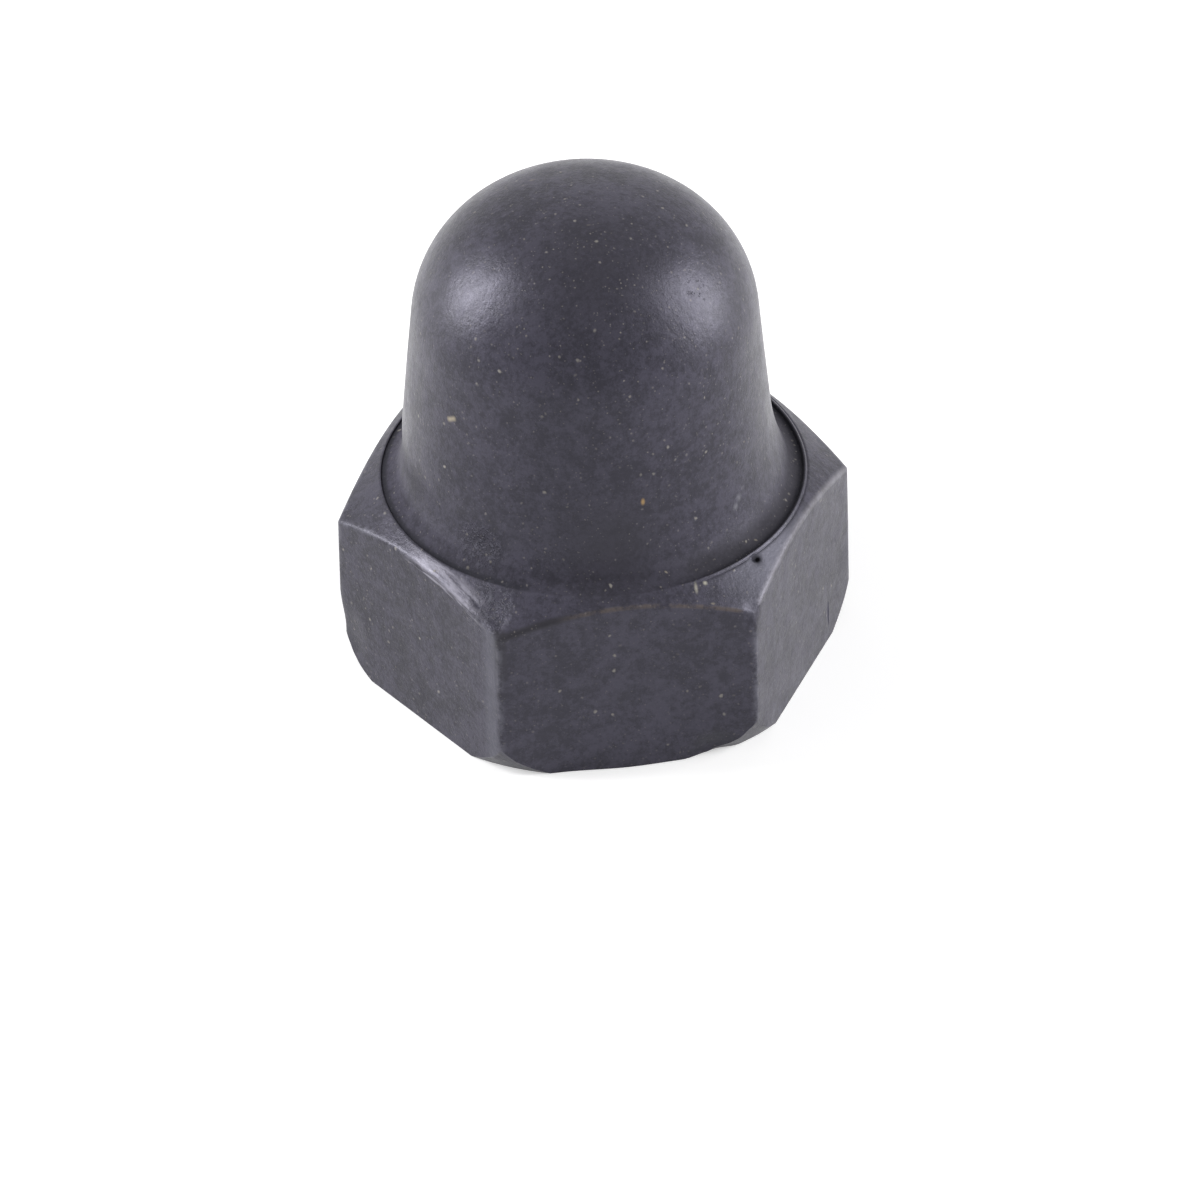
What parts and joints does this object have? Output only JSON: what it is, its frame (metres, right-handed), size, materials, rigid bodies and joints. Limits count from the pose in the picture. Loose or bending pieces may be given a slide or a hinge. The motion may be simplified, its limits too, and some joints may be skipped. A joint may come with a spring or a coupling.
{
  "type": "cap nut",
  "caption": "Domed cap nut in matt black steel: a chamfered hexagon under a closed tapered dome, with a blind M8 thread.",
  "frame": {"origin": "centre of the bearing face, on the thread's axis", "axes": "+Z along the thread's axis towards the dome; two opposite corners of the hexagon on X; two opposite flats face -Y and +Y"},
  "size_m": [0.015, 0.013, 0.0155],
  "materials": {
    "black_steel": "matt black oxide over forged steel, fine grain, pale dust and rubbed edges; a conversion coating, not paint"
  },
  "bodies": {
    "root": {"cap_nut": "black_steel"}
  },
  "joints": []
}
